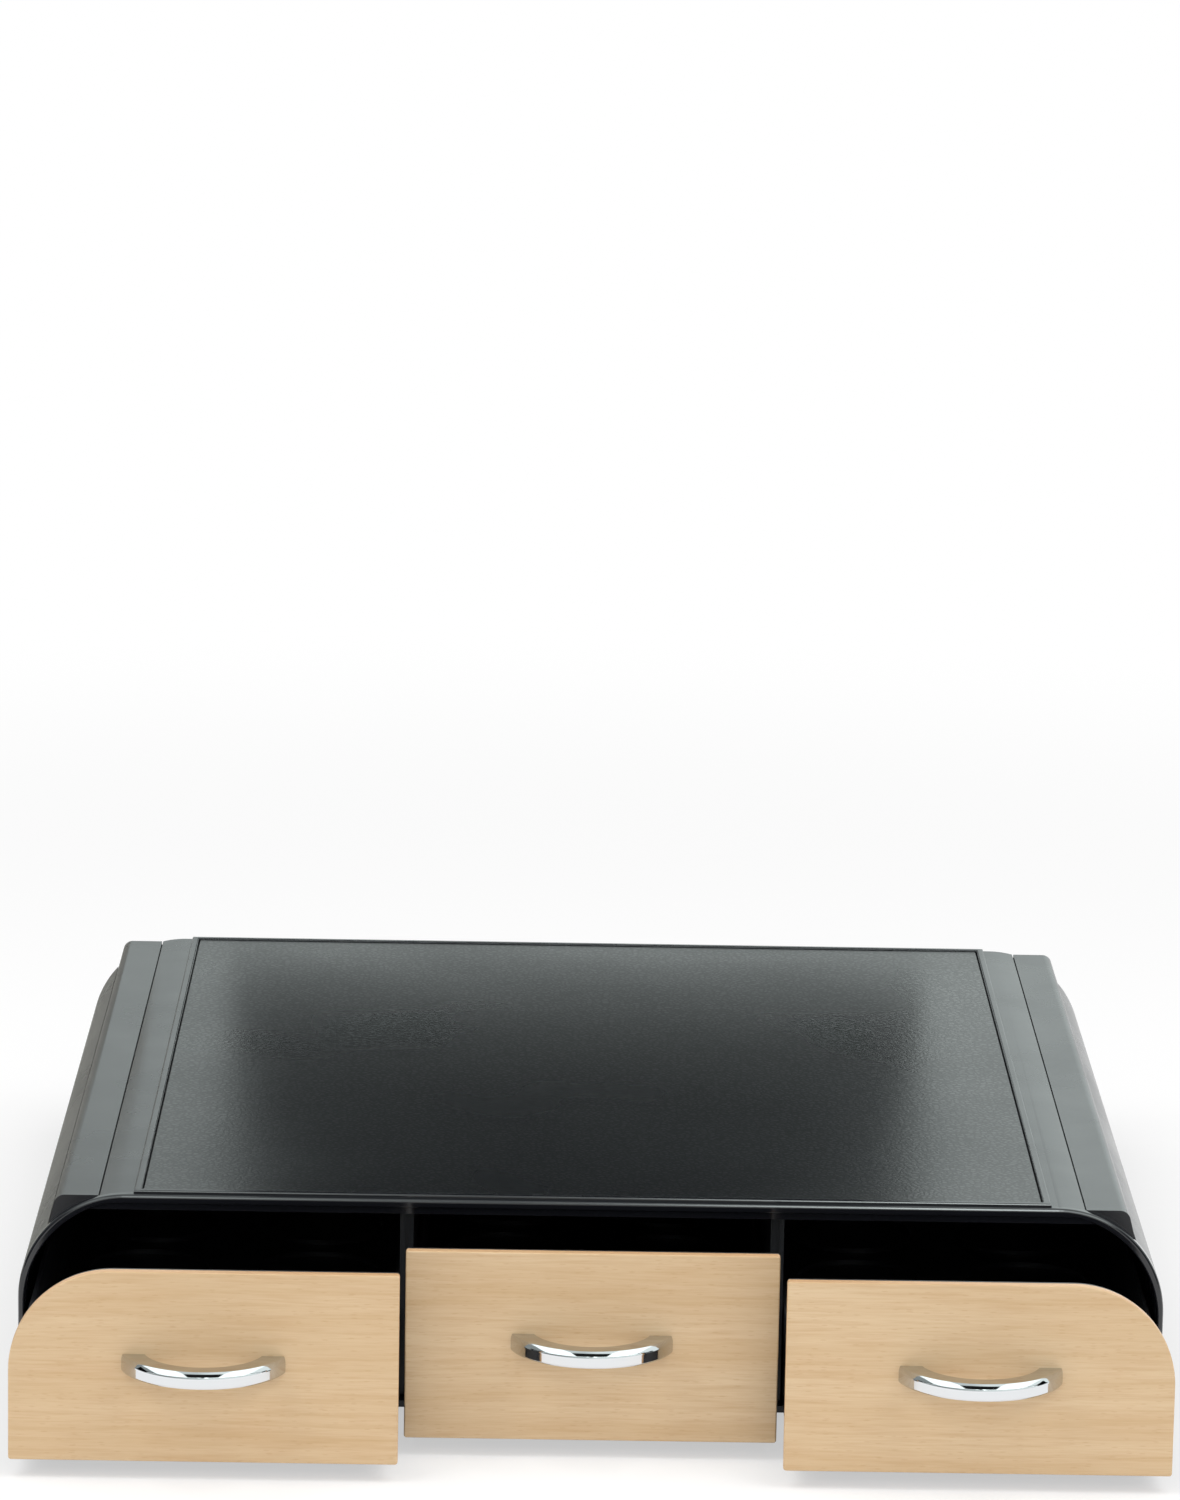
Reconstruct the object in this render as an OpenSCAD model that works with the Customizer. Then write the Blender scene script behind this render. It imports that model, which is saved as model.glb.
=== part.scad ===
// Countertop drawer unit for coffee pods.
// A low arch-shaped housing stands on four feet and holds three pull-out drawers.
// Each drawer is a plastic tray with a wooden front and a bow handle.
// X runs to the viewer's right, Y to the back, Z up. The origin is on the standing
// surface, in the middle of the housing's footprint. The drawers open towards -Y.

/* [Housing] */
// Overall width across the side walls
body_w = 340; // [290:1:420]
// Overall depth of the shell, front rim to back edge
body_d = 327; // [240:1:400]
// Height of the shell and base together, underside of the base to the flat deck
shell_h = 64; // [52:1:90]
// Outer radius of the two top corners of the arch
body_r = 32; // [24:1:40]
// Thickness of the side walls
side_wall = 1.8; // [1.4:0.1:3]
// Thickness of the flat deck
deck_t = 2.6; // [2.4:0.1:4]
// Height of the beam that stiffens the deck along the front
front_beam_h = 4.6; // [3.6:0.1:8]
// Distance of that beam's back face behind the front rim
front_beam_d = 5; // [4:0.5:8]
// How far the beam's front face sits behind the rim's thin lip
lip_d = 0.8; // [0.4:0.1:2]
// Thickness of the base plate
base_t = 2; // [2:0.1:4]
// Thickness of the rear panel
rear_t = 2; // [2:0.1:4]
// How far the rear panel sits in from the back edge
rear_inset = 0.3; // [0:0.1:2]

/* [Shoulders] */
// Distance of each shoulder's inner seam from the side of the housing
shoulder_w = 24; // [18:0.5:28]
// Distance of each shoulder's side face from the side of the housing
shoulder_side = 8.8; // [6:0.2:12]
// How far the shoulders start behind the front rim
shoulder_setback = 3.2; // [2:0.1:10]
// Depth of the seat that the shoulders lie in
shoulder_seat = 1; // [0.6:0.1:1.2]
// Radius of the shoulder's outer top edge
shoulder_r = 2.4; // [1:0.1:5]
// How far the shoulder's side leans out from top to foot
shoulder_lean = 2.3; // [0.5:0.1:4]

/* [Deck panel] */
// Distance of the raised frame around the grained panel from the sides of the housing
frame_side = 34.1; // [30:0.1:60]
// Width of the frame's rib
frame_rib = 2.4; // [1.5:0.1:4]
// Height of the rib above the deck
frame_h = 1; // [0.5:0.1:2]
// Distance of the rib behind the front edge
frame_front = 2; // [1:0.1:6]
// Distance of the rib from the back edge
frame_rear = 0.5; // [0.3:0.1:6]
// Thickness of the grained panel
mat_t = 1.2; // [0.8:0.1:2]
// Depth of the pocket that the panel lies in
mat_pocket = 0.7; // [0.4:0.1:1]
// Gap around the panel
mat_gap = 0.3; // [0.1:0.1:0.6]

/* [Bays and dividers] */
// Clear width of the middle bay
middle_bay_w = 106; // [80:0.5:130]
// Thickness of the two dividers
divider_t = 4; // [3.6:0.1:6]
// Width of the groove down the front edge of each divider
divider_groove = 1.2; // [0.6:0.1:2]
// Height of the glide rails on the base plate
rail_h = 0.8; // [0.5:0.1:2]
// Width of the glide rails
rail_w = 4; // [2:0.5:8]
// Distance between the two rails under a tray
rail_pitch = 70; // [40:1:74]

/* [Drawers] */
// How far the two outer drawers stand open
side_open = 63.5; // [0:1:180]
// How far the middle drawer stands open
middle_open = 37.5; // [0:1:180]
// Thickness of the wooden fronts
front_t = 3; // [2:0.1:6]
// Gap around the closed fronts
front_gap = 0.4; // [0.2:0.1:1]
// Gap between neighbouring fronts
front_seam = 1.2; // [0.6:0.1:2]
// Thickness of the tray's front wall
tray_front_t = 2.2; // [1.6:0.1:4]
// Thickness of the tray's other walls
tray_wall = 1.2; // [1:0.1:2]
// Thickness of the tray's floor
tray_floor = 1.5; // [1.2:0.1:3]
// Height of the tray's side walls
tray_side_h = 28; // [16:1:30]
// Gap between the tray and what it slides past
slide_gap = 0.3; // [0.2:0.05:0.6]
// Gap between the tray and the dividers
bay_gap = 0.5; // [0.3:0.1:1]
// Gap between the tray and the outer side wall, where the locating tabs stand
outer_gap = 1.9; // [1.6:0.1:4]
// Gap left behind the tray when it is shut
rear_gap = 4.9; // [2:0.1:20]
// How far the tray reaches into the housing when it is pulled out fully
overlap = 58; // [30:1:100]

/* [Pods] */
// Lid diameter of a pod, which sets the spacing of the seats
pod_lid_d = 51; // [48:0.5:56]
// Inner diameter of a pod seat
seat_d = 38; // [34:0.5:44]
// Wall of a pod seat
seat_wall = 1.2; // [1:0.1:2]
// Height of a pod seat above the tray's floor
seat_h = 1.5; // [1:0.1:4]

/* [Handles] */
// Width of the handle where it meets the front
handle_w = 47.2; // [40:0.2:70]
// How far the handle stands out
handle_out = 18.2; // [14:0.1:22]
// Height of the handle
handle_h = 4.9; // [4.4:0.1:8]
// Chamfer along the handle's upper outer edge
handle_edge = 1.5; // [0.4:0.1:2]
// Chamfer along the handle's lower outer edge
handle_low_edge = 0.5; // [0.2:0.1:2]
// Width of each of the handle's solid ends where it meets the front
handle_end = 6.8; // [6:0.1:12]
// Depth of the bow in its middle, in front of the finger gap
handle_bar = 6; // [3:0.1:7]
// Height of the handle's middle above the lower edge of its front
handle_up = 29.7; // [16:0.1:38]
// Distance of each handle screw from the handle's end
handle_screw_in = 3.4; // [3:0.1:4]

/* [Feet] */
// Height of the feet
foot_h = 3; // [2:0.1:6]
// Diameter of the feet
foot_d = 16; // [10:1:24]
// Diameter of the peg that holds each foot
peg_d = 5; // [3:0.5:8]
// Distance of the feet's middles from the sides
foot_side = 20; // [14:1:40]
// Distance of the feet's middles from the front and back
foot_end = 20; // [14:1:40]

/* [Hidden] */
$fn = 96;

black = "#26282b";
dark_grey = "#3a3d41";
beech = "#dcb98f";
chrome = "#d5d9dd";
steel = "#8f959b";
rubber = "#17181a";

// A cut is carried this far past the face that it opens
cut = 1;

// Levels of the housing
half_w = body_w / 2;
front_y = -body_d / 2;
back_y = body_d / 2;
base_z = foot_h;
base_top = base_z + base_t;
deck_z = base_z + shell_h;
deck_under = deck_z - max(deck_t, side_wall);
beam_under = min(deck_z - front_beam_h, deck_under);
inner_x = half_w - side_wall;
rear_panel_y = back_y - rear_inset - rear_t;

// Shoulders
seam_x = half_w - shoulder_w;
shoulder_x = half_w - shoulder_side;
arc_x = half_w - body_r;
arc_z = deck_z - body_r;
shoulder_drop = 9.3;
lean_angle = atan(shoulder_lean / shoulder_drop);
seam_gap = 0.4;
seat_gap = 0.05;
shoulder_top = arc_z + sqrt(pow(body_r, 2) - pow(seam_x - arc_x, 2));

// Frame and pocket on the deck
frame_x = half_w - frame_side;
frame_y0 = front_y + frame_front;
frame_y1 = back_y - frame_rear;
pocket_z = deck_z - mat_pocket;

// Dividers and bays
divider_x = (middle_bay_w + divider_t) / 2;
divider_y = front_y + max(front_t + tray_front_t + 2 * slide_gap, front_beam_d + slide_gap);
groove_d = 0.6;
side_bay_x = divider_x + divider_t / 2;

// Drawers: where each runs, and how it lies in its bay
LEFT = -1;
MIDDLE = 0;
RIGHT = 1;
front_z0 = base_top + front_gap;
front_z1 = beam_under - front_gap;
front_r = body_r - side_wall - front_gap;
front_x0 = divider_x + front_seam / 2;
front_x1 = inner_x - front_gap;
tray_x0 = side_bay_x + bay_gap;
tray_x1 = inner_x - outer_gap;
tray_z = base_top + rail_h + slide_gap;
tray_inside_y = front_y + front_t + tray_front_t;
tray_back_y = rear_panel_y - rear_gap;
tray_back_drop = 2.4;
tray_back_z = beam_under - tray_back_drop;
front_wall_inset = 0.4;

// Stop tabs on the trays and stop ribs under the deck
stop_w = 12;
stop_pitch = 40;
stop_rib_d = 3;
stop_rib_z = beam_under;
stop_top = deck_under - 0.5;
stop_y = front_y + overlap;

// Locating tabs that keep the side walls on the base plate
locator_t = 1;
locator_l = 20;
locator_h = 4;
locator_gap = 0.1;
locator_end = 45.8;

// Self-tapping screws with countersunk heads, and the holes they bite into
screw_d = 2.5;
screw_l = 8;
screw_head_d = 4.8;
screw_head_h = 1.2;
screw_tip = 1.5;
screw_point_d = 0.6;
hole_play = 0.1;
hole_spare = 1;
screw_end = 52.3;
screw_rows = [-1, 0, 1];
rear_screw_z = [base_top + 0.25 * (deck_under - base_top), base_top + 0.75 * (deck_under - base_top)];

// Arcs of the handle, seen from above: its outer face and the finger gap
function arc_radius(chord, rise) = (pow(chord / 2, 2) + pow(rise, 2)) / (2 * rise);
grip_w = handle_w - 2 * handle_end;
grip_d = handle_out - handle_bar;
handle_r = arc_radius(handle_w, handle_out);
grip_r = arc_radius(grip_w, grip_d);
handle_z = front_z0 + handle_up;
FINE = 180;

// Handle screws with pan heads. They bite as deep as the bow's curved face allows
bolt_d = 3;
bolt_head_d = 5.6;
bolt_head_h = 2;
bolt_play = 0.2;
bolt_x = handle_w / 2 - handle_screw_in;
bolt_cover = 1.2;
bolt_bite = bow_depth(bolt_x + bolt_d / 2) - bolt_cover;
bolt_l = front_t + tray_front_t + bolt_bite;

function bow_depth(x) = sqrt(pow(handle_r, 2) - pow(x, 2)) - handle_r + handle_out;
function screw_y(row) = row * (body_d / 2 - screw_end);
function drawer_x(side) = side * (front_x0 + front_x1) / 2;
function opening(side) = side == MIDDLE ? middle_open : side_open;

// ---- Shared shapes ----

// Extrudes a drawing made in X and Z from y0 back to y1
module along_y(y0, y1) {
    translate([0, y1, 0]) rotate([90, 0, 0]) linear_extrude(y1 - y0) children();
}

// Arch with rounded top corners, drawn in X and Z
module arch(half, z0, z1, r) {
    intersection() {
        union() {
            panel(-half, half, z0, z1 - r);
            panel(r - half, half - r, z0, z1);
            for (side = [-1, 1]) translate([side * (half - r), z1 - r]) circle(r);
        }
        panel(-half, half, z0, z1);
    }
}

// Room inside the arch, drawn in X and Z and made smaller all round by inset. Its corners have the
// same radius as the outside, so the shell is thickest halfway round them
module cavity(z0, z1, inset) {
    intersection() {
        arch(inner_x - inset, base_z, deck_z - side_wall - inset, body_r - inset);
        panel(-inner_x, inner_x, z0, z1);
    }
}

// Plain upright rectangle, drawn in X and Z
module panel(x0, x1, z0, z1) {
    translate([x0, z0]) square([x1 - x0, z1 - z0]);
}

// Box given by its two corners
module box(low, high) {
    translate(low) cube(high - low);
}

// Countersunk screw, head up at the origin and pointing down
module countersunk_screw() {
    translate([0, 0, -screw_head_h]) cylinder(screw_head_h, d1 = screw_d, d2 = screw_head_d);
    translate([0, 0, -screw_l + screw_tip]) cylinder(screw_l - screw_tip - screw_head_h, d = screw_d);
    translate([0, 0, -screw_l]) cylinder(screw_tip, d1 = screw_point_d, d2 = screw_d);
}

// Room for that screw: the countersink and the hole below it
module countersunk_hole(depth) {
    play = hole_play / 2;
    translate([0, 0, -screw_head_h - play])
        cylinder(screw_head_h + play, d1 = screw_d + hole_play, d2 = screw_head_d + 2 * hole_play);
    translate([0, 0, -depth]) cylinder(depth, d = screw_d + hole_play);
    cylinder(cut, d = screw_head_d + 2 * hole_play);
}

// Places of the three kinds of housing screw, each turned so that it points inwards
module at_deck_screws() {
    for (side = [-1, 1], row = screw_rows) translate([side * divider_x, screw_y(row), pocket_z]) children();
}

module at_base_screws() {
    for (side = [-1, 1], row = screw_rows)
        translate([side * divider_x, screw_y(row), base_z]) rotate([180, 0, 0]) children();
}

module at_rear_screws() {
    for (side = [-1, 1], z = rear_screw_z)
        translate([side * divider_x, rear_panel_y + rear_t, z]) rotate([-90, 0, 0]) children();
}

module at_feet() {
    for (x = [-1, 1], y = [-1, 1]) foot_place(x, y) children();
}

module foot_place(x, y) {
    translate([x * (half_w - foot_side), y * (body_d / 2 - foot_end), 0]) children();
}

// ---- Housing ----

// Arch shell: deck, rounded corners and side walls, with a beam across the front
module housing_shell() {
    color(black) difference() {
        union() {
            along_y(front_y, back_y) arch(half_w, base_top, deck_z, body_r);
            box([-frame_x, frame_y0, deck_z - cut], [frame_x, frame_y1, deck_z + frame_h]);
        }
        difference() {
            along_y(front_y - cut, back_y + cut) cavity(base_top - cut, deck_under, 0);
            along_y(front_y + lip_d, front_y + front_beam_d) panel(-half_w, half_w, beam_under, deck_z);
            stop_ribs();
        }
        mat_pocket();
        shoulder_seats();
        at_deck_screws() countersunk_hole(screw_l + hole_spare);
    }
}

// Ribs under the deck that the trays' stop tabs meet
module stop_ribs() {
    along_y(stop_y - stop_rib_d, stop_y)
        for (side = [LEFT, MIDDLE, RIGHT], at = [-0.5, 0.5]) stop_band(side, at, stop_rib_z, deck_z);
}

// One of a drawer's two stops, drawn in X and Z
module stop_band(side, at, z0, z1) {
    x = drawer_x(side) + at * stop_pitch;
    panel(x - stop_w / 2, x + stop_w / 2, z0, z1);
}

// Shallow pocket inside the frame
module mat_pocket() {
    box([-frame_x + frame_rib, frame_y0 + frame_rib, pocket_z],
        [frame_x - frame_rib, frame_y1 - frame_rib, deck_z + frame_h + cut]);
}

// Seats along the rounded corners for the two shoulders
module shoulder_seats() {
    for (side = [-1, 1])
        along_y(front_y + shoulder_setback, back_y + cut) intersection() {
            difference() {
                translate([side * arc_x, arc_z]) circle(body_r + cut);
                translate([side * arc_x, arc_z]) circle(body_r - shoulder_seat);
            }
            shoulder_box(side, seam_x, shoulder_x + seam_gap / 2);
        }
}

// Upright band over one rounded corner, between two distances from the middle
module shoulder_box(side, x0, x1) {
    translate([side > 0 ? x0 : -x1, arc_z]) square([x1 - x0, body_r + cut]);
}

// Shoulder: a full-depth bar that squares off one rounded corner
module shoulder(side) {
    color(black) along_y(front_y + shoulder_setback, back_y) difference() {
        intersection() {
            shoulder_outline(side);
            shoulder_box(side, seam_x + seam_gap, shoulder_x);
        }
        translate([side * arc_x, arc_z]) circle(body_r - shoulder_seat + seat_gap);
    }
}

// Outline of a shoulder: flat top, rounded outer edge and a side that leans out a little
module shoulder_outline(side) {
    x = shoulder_x - shoulder_lean - shoulder_r * (1 - sin(lean_angle)) / cos(lean_angle);
    z = shoulder_top - shoulder_r;
    rounding = [for (i = [0:8]) let(a = 90 - i * (90 - lean_angle) / 8)
                [x + shoulder_r * cos(a), z + shoulder_r * sin(a)]];
    mirror([side > 0 ? 0 : 1, 0])
        polygon(concat([[arc_x, arc_z], [arc_x, shoulder_top]], rounding,
                       [[shoulder_x, shoulder_top - shoulder_drop], [shoulder_x, arc_z]]));
}

// Grained non-slip panel that lies in the deck's frame
module deck_panel() {
    inset = frame_rib + mat_gap;
    color(dark_grey)
        box([-frame_x + inset, frame_y0 + inset, pocket_z],
            [frame_x - inset, frame_y1 - inset, pocket_z + mat_t]);
}

// Base plate: floor of the housing, with glide rails and locating tabs
module base_plate() {
    color(black) difference() {
        union() {
            box([-half_w, front_y, base_z], [half_w, back_y, base_top]);
            glide_rails();
            locating_tabs();
        }
        at_base_screws() countersunk_hole(screw_l + hole_spare);
        at_feet() translate([0, 0, base_z - cut]) cylinder(base_t + 2 * cut, d = peg_d);
    }
}

// Two rails under each tray
module glide_rails() {
    for (side = [LEFT, MIDDLE, RIGHT], at = [-1, 1])
        translate([drawer_x(side) + at * rail_pitch / 2 - rail_w / 2, divider_y, base_top])
            cube([rail_w, rear_panel_y - divider_y, rail_h]);
}

// Tabs that stand just inside the side walls
module locating_tabs() {
    for (side = [-1, 1], row = [-1, 0, 1])
        translate([side * (inner_x - locator_gap - locator_t / 2), row * (body_d / 2 - locator_end),
                   base_top + locator_h / 2])
            cube([locator_t, locator_l, locator_h], center = true);
}

// Rear panel: closes the back of the arch
module rear_panel() {
    edge_gap = 0.2;
    color(black) difference() {
        along_y(rear_panel_y, rear_panel_y + rear_t) cavity(base_top, deck_under - edge_gap, edge_gap);
        at_rear_screws() countersunk_hole(screw_l + hole_spare);
    }
}

// Divider between two bays, which carries the deck
module divider(side) {
    color(black) difference() {
        box([side * divider_x - divider_t / 2, divider_y, base_top],
            [side * divider_x + divider_t / 2, rear_panel_y, deck_under]);
        box([side * divider_x - divider_groove / 2, divider_y - cut, base_top - cut],
            [side * divider_x + divider_groove / 2, divider_y + groove_d, deck_under + cut]);
        at_deck_screws() countersunk_hole(screw_l + hole_spare);
        at_base_screws() countersunk_hole(screw_l + hole_spare);
        at_rear_screws() countersunk_hole(screw_l + hole_spare);
    }
}

// Rubber foot with a peg that is pressed into the base plate
module foot(x, y) {
    color(rubber) foot_place(x, y) {
        cylinder(foot_h, d = foot_d);
        cylinder(foot_h + base_t, d = peg_d);
    }
}

module deck_screws() {
    color(steel) at_deck_screws() countersunk_screw();
}

module base_screws() {
    color(steel) at_base_screws() countersunk_screw();
}

module rear_screws() {
    color(steel) at_rear_screws() countersunk_screw();
}

// ---- Drawers ----

// Outline of a drawer's front in X and Z, made smaller all round by inset
module front_outline(side, inset) {
    z0 = front_z0 + inset;
    z1 = front_z1 - inset;
    if (side == MIDDLE) {
        half = divider_x - front_seam / 2 - inset;
        panel(-half, half, z0, z1);
    } else {
        mirror([side > 0 ? 0 : 1, 0]) intersection() {
            arch(front_x1 - inset, z0, z1, front_r - inset);
            panel(front_x0 + inset, half_w, z0, z1);
        }
    }
}

// Clear width of a bay in X and Z, up to a height, where a tray can slide
module bay_outline(side, z1) {
    if (side == MIDDLE) {
        half = middle_bay_w / 2 - bay_gap;
        panel(-half, half, tray_z, z1);
    } else {
        mirror([side > 0 ? 0 : 1, 0]) intersection() {
            cavity(base_z, deck_under - slide_gap, slide_gap);
            panel(tray_x0, tray_x1, tray_z, z1);
        }
    }
}

function tray_left(side) = side == MIDDLE ? bay_gap - middle_bay_w / 2 : side > 0 ? tray_x0 : -tray_x1;
function tray_right(side) = -tray_left(-side);

// Tray: floor, low side walls, a full front wall and a high rear wall with two stop tabs
module tray(side) {
    x0 = tray_left(side);
    x1 = tray_right(side);
    wall_z = tray_z + tray_side_h;
    color(black) translate([0, -opening(side), 0]) difference() {
        union() {
            difference() {
                along_y(tray_inside_y - tray_front_t, tray_back_y) bay_outline(side, wall_z);
                box([x0 + tray_wall, tray_inside_y, tray_z + tray_floor],
                    [x1 - tray_wall, tray_back_y - tray_wall, wall_z + cut]);
            }
            along_y(tray_inside_y - tray_front_t, tray_inside_y) front_outline(side, front_wall_inset);
            along_y(tray_back_y - tray_wall, tray_back_y) bay_outline(side, tray_back_z);
            stop_tabs(side);
            pod_seats(x0 + tray_wall, x1 - tray_wall);
        }
        at_handle_screws(side) cylinder(tray_front_t + 2 * cut, d = bolt_d + bolt_play);
    }
}

// Tabs on the rear wall that run close under the deck and meet the stop ribs
module stop_tabs(side) {
    along_y(tray_back_y - tray_wall, tray_back_y)
        for (at = [-0.5, 0.5]) intersection() {
            bay_outline(side, stop_top);
            stop_band(side, at, tray_z, stop_top);
        }
}

// Low rings on the floor that hold the pods upright, as many as the tray has room for
module pod_seats(x0, x1) {
    y0 = tray_inside_y;
    length = tray_back_y - tray_wall - y0;
    columns = floor((x1 - x0) / pod_lid_d);
    rows = floor(length / pod_lid_d);
    for (c = [0.5:columns], r = [0.5:rows])
        translate([x0 + c * (x1 - x0) / columns, y0 + r * length / rows, tray_z]) difference() {
            cylinder(tray_floor + seat_h, d = seat_d + 2 * seat_wall);
            translate([0, 0, tray_floor]) cylinder(seat_h + cut, d = seat_d);
        }
}

// Wooden front, screwed to the tray together with its handle
module drawer_front(side) {
    color(beech) translate([0, -opening(side), 0]) difference() {
        along_y(front_y, front_y + front_t) front_outline(side, 0);
        at_handle_screws(side)
            translate([0, 0, -front_t]) cylinder(front_t + 2 * cut, d = bolt_d + bolt_play);
    }
}

// Places of a drawer's two handle screws when it is shut: z = 0 is the back of the wooden
// front, and +Z there points into the drawer
module at_handle_screws(side) {
    for (at = [-1, 1])
        translate([drawer_x(side) + at * bolt_x, front_y + front_t, handle_z])
            rotate([-90, 0, 0]) translate([0, 0, -cut]) children();
}

// Bow handle: a crescent with chamfered outer edges and a blind hole in each end
module handle(side) {
    h = handle_h / 2;
    e = handle_edge;
    low_e = handle_low_edge;
    color(chrome) translate([0, -opening(side), 0]) difference() {
        translate([drawer_x(side), front_y, handle_z]) difference() {
            translate([0, handle_r - handle_out, 0]) rotate_extrude($fn = FINE)
                polygon([[0, -h], [handle_r - low_e, -h], [handle_r, low_e - h], [handle_r, h - e],
                         [handle_r - e, h], [0, h]]);
            translate([0, grip_r - grip_d, -h - cut]) cylinder(handle_h + 2 * cut, r = grip_r, $fn = FINE);
            translate([-handle_w, 0, -h - cut]) cube([2 * handle_w, 2 * handle_r, handle_h + 2 * cut]);
        }
        at_handle_screws(side)
            translate([0, 0, cut + tray_front_t - bolt_l]) cylinder(bolt_l, d = bolt_d + hole_play);
    }
}

// Pan-head screws, driven from inside the tray
module handle_screws(side) {
    color(steel) translate([0, -opening(side), 0]) at_handle_screws(side)
        translate([0, 0, cut + tray_front_t]) {
            cylinder(bolt_head_h, d = bolt_head_d);
            translate([0, 0, -bolt_l + hole_play]) cylinder(bolt_l, d = bolt_d);
        }
}

housing_shell();
shoulder(LEFT);  // shoulder_left
shoulder(RIGHT);  // shoulder_right
deck_panel();
base_plate();
rear_panel();
divider(LEFT);  // divider_left
divider(RIGHT);  // divider_right
foot(-1, -1);  // foot_front_left
foot(1, -1);  // foot_front_right
foot(-1, 1);  // foot_rear_left
foot(1, 1);  // foot_rear_right
deck_screws();
base_screws();
rear_screws();
tray(LEFT);  // left_tray
tray(MIDDLE);  // middle_tray
tray(RIGHT);  // right_tray
drawer_front(LEFT);  // left_front
drawer_front(MIDDLE);  // middle_front
drawer_front(RIGHT);  // right_front
handle(LEFT);  // left_handle
handle(MIDDLE);  // middle_handle
handle(RIGHT);  // right_handle
handle_screws(LEFT);  // left_handle_screws
handle_screws(MIDDLE);  // middle_handle_screws
handle_screws(RIGHT);  // right_handle_screws
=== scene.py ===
import math

import bmesh
import bpy
from mathutils import Matrix, Vector


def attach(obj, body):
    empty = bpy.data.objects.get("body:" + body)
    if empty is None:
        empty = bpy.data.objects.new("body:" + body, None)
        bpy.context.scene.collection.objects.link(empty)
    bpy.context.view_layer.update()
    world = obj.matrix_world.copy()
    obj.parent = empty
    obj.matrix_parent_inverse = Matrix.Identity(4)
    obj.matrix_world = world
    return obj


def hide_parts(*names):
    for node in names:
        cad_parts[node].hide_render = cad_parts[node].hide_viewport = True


# Coffee pod drawer: a low black unit with three wooden-fronted drawers under a flat deck.
# Each section makes one piece, or a group of like pieces, in the order in which the unit is put
# together. Meshes are drawn in millimetres in the frame of the CAD model: the origin is on the
# counter under the middle of the housing, the drawers open towards -Y, and Z is up.
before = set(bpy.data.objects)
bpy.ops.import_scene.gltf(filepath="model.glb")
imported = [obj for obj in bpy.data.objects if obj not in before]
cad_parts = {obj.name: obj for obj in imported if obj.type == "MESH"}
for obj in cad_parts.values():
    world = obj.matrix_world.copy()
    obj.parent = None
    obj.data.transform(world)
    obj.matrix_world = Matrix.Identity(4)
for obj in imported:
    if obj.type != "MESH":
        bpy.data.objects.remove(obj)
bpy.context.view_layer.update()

# ---- Camera ----
# A long lens a little above the counter, two metres in front of the unit.
# The picture is 1180 pixels wide and 1500 high, and the sensor's long side is its height.
camera_at = Vector((-0.019235, -2.05495, 0.59717))
pitch, yaw, roll = math.radians(11.7545), math.radians(0.4848), math.radians(-1.0099)
focal_px, picture_h, sensor_mm = 6627.67, 1500, 36

forward = Vector((math.sin(yaw) * math.cos(pitch), math.cos(yaw) * math.cos(pitch),
                  -math.sin(pitch)))
level_right = Vector((math.cos(yaw), -math.sin(yaw), 0))
level_down = forward.cross(level_right)
right = level_right * math.cos(roll) + level_down * math.sin(roll)
down = level_down * math.cos(roll) - level_right * math.sin(roll)

lens = bpy.data.cameras.new("camera")
lens.sensor_width = sensor_mm
lens.lens = focal_px / picture_h * sensor_mm
lens.clip_end = 60
camera = bpy.data.objects.new("camera", lens)
turn = Matrix((right, -down, -forward)).transposed().to_4x4()
camera.matrix_world = Matrix.Translation(camera_at) @ turn
bpy.context.scene.collection.objects.link(camera)
bpy.context.scene.camera = camera
bpy.context.scene.view_settings.view_transform = "Standard"


# ---- Studio: paper, cards, surroundings and lamps ----
# The unit stands on pale seamless paper, and three soft lamps give it plain light. Gloss and chrome
# also mirror cards round the unit and the world: white walls, two bright ceiling panels with a dark
# gap between them, and behind the camera a narrow strip lamp with a dark slit below it.
def colour(code):
    """Linear colour of an sRGB hex code."""
    parts = [int(code[i:i + 2], 16) / 255 for i in (1, 3, 5)]
    return [p / 12.92 if p <= 0.04045 else ((p + 0.055) / 1.055) ** 2.4 for p in parts] + [1]


def add(tree, kind, settings=(), **links):
    """Adds a shader node. Settings are its properties and input values, links feed its inputs.
    An input goes by its name or its place, and a link writes the first place as _0."""
    made = tree.nodes.new("ShaderNode" + kind)
    for name, value in dict(settings).items():
        if isinstance(name, int) or name in made.inputs:
            made.inputs[name].default_value = value
        else:
            setattr(made, name, value)
    for name, source in links.items():
        key = int(name[1:]) if name[0] == "_" else name.replace("_", " ")
        tree.links.new(source, made.inputs[key])
    return made


def new_material(name):
    """Empty material and its node tree."""
    made = bpy.data.materials.new(name)
    made.use_nodes = True
    made.node_tree.nodes.clear()
    return made, made.node_tree


def plane(name, x, y, z, material):
    """Stage piece: a rectangle between two places on each axis in metres, alike on one of them."""
    lying = z[0] == z[1]
    bm = bmesh.new()
    bm.faces.new([bm.verts.new((x[i], y[k if lying else i], z[k]))
                  for i, k in ((0, 0), (1, 0), (1, 1), (0, 1))])
    mesh = bpy.data.meshes.new(name)
    bm.to_mesh(mesh)
    bm.free()
    mesh.materials.append(material)
    made = bpy.data.objects.new(name, mesh)
    bpy.context.scene.collection.objects.link(made)
    return made


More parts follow.
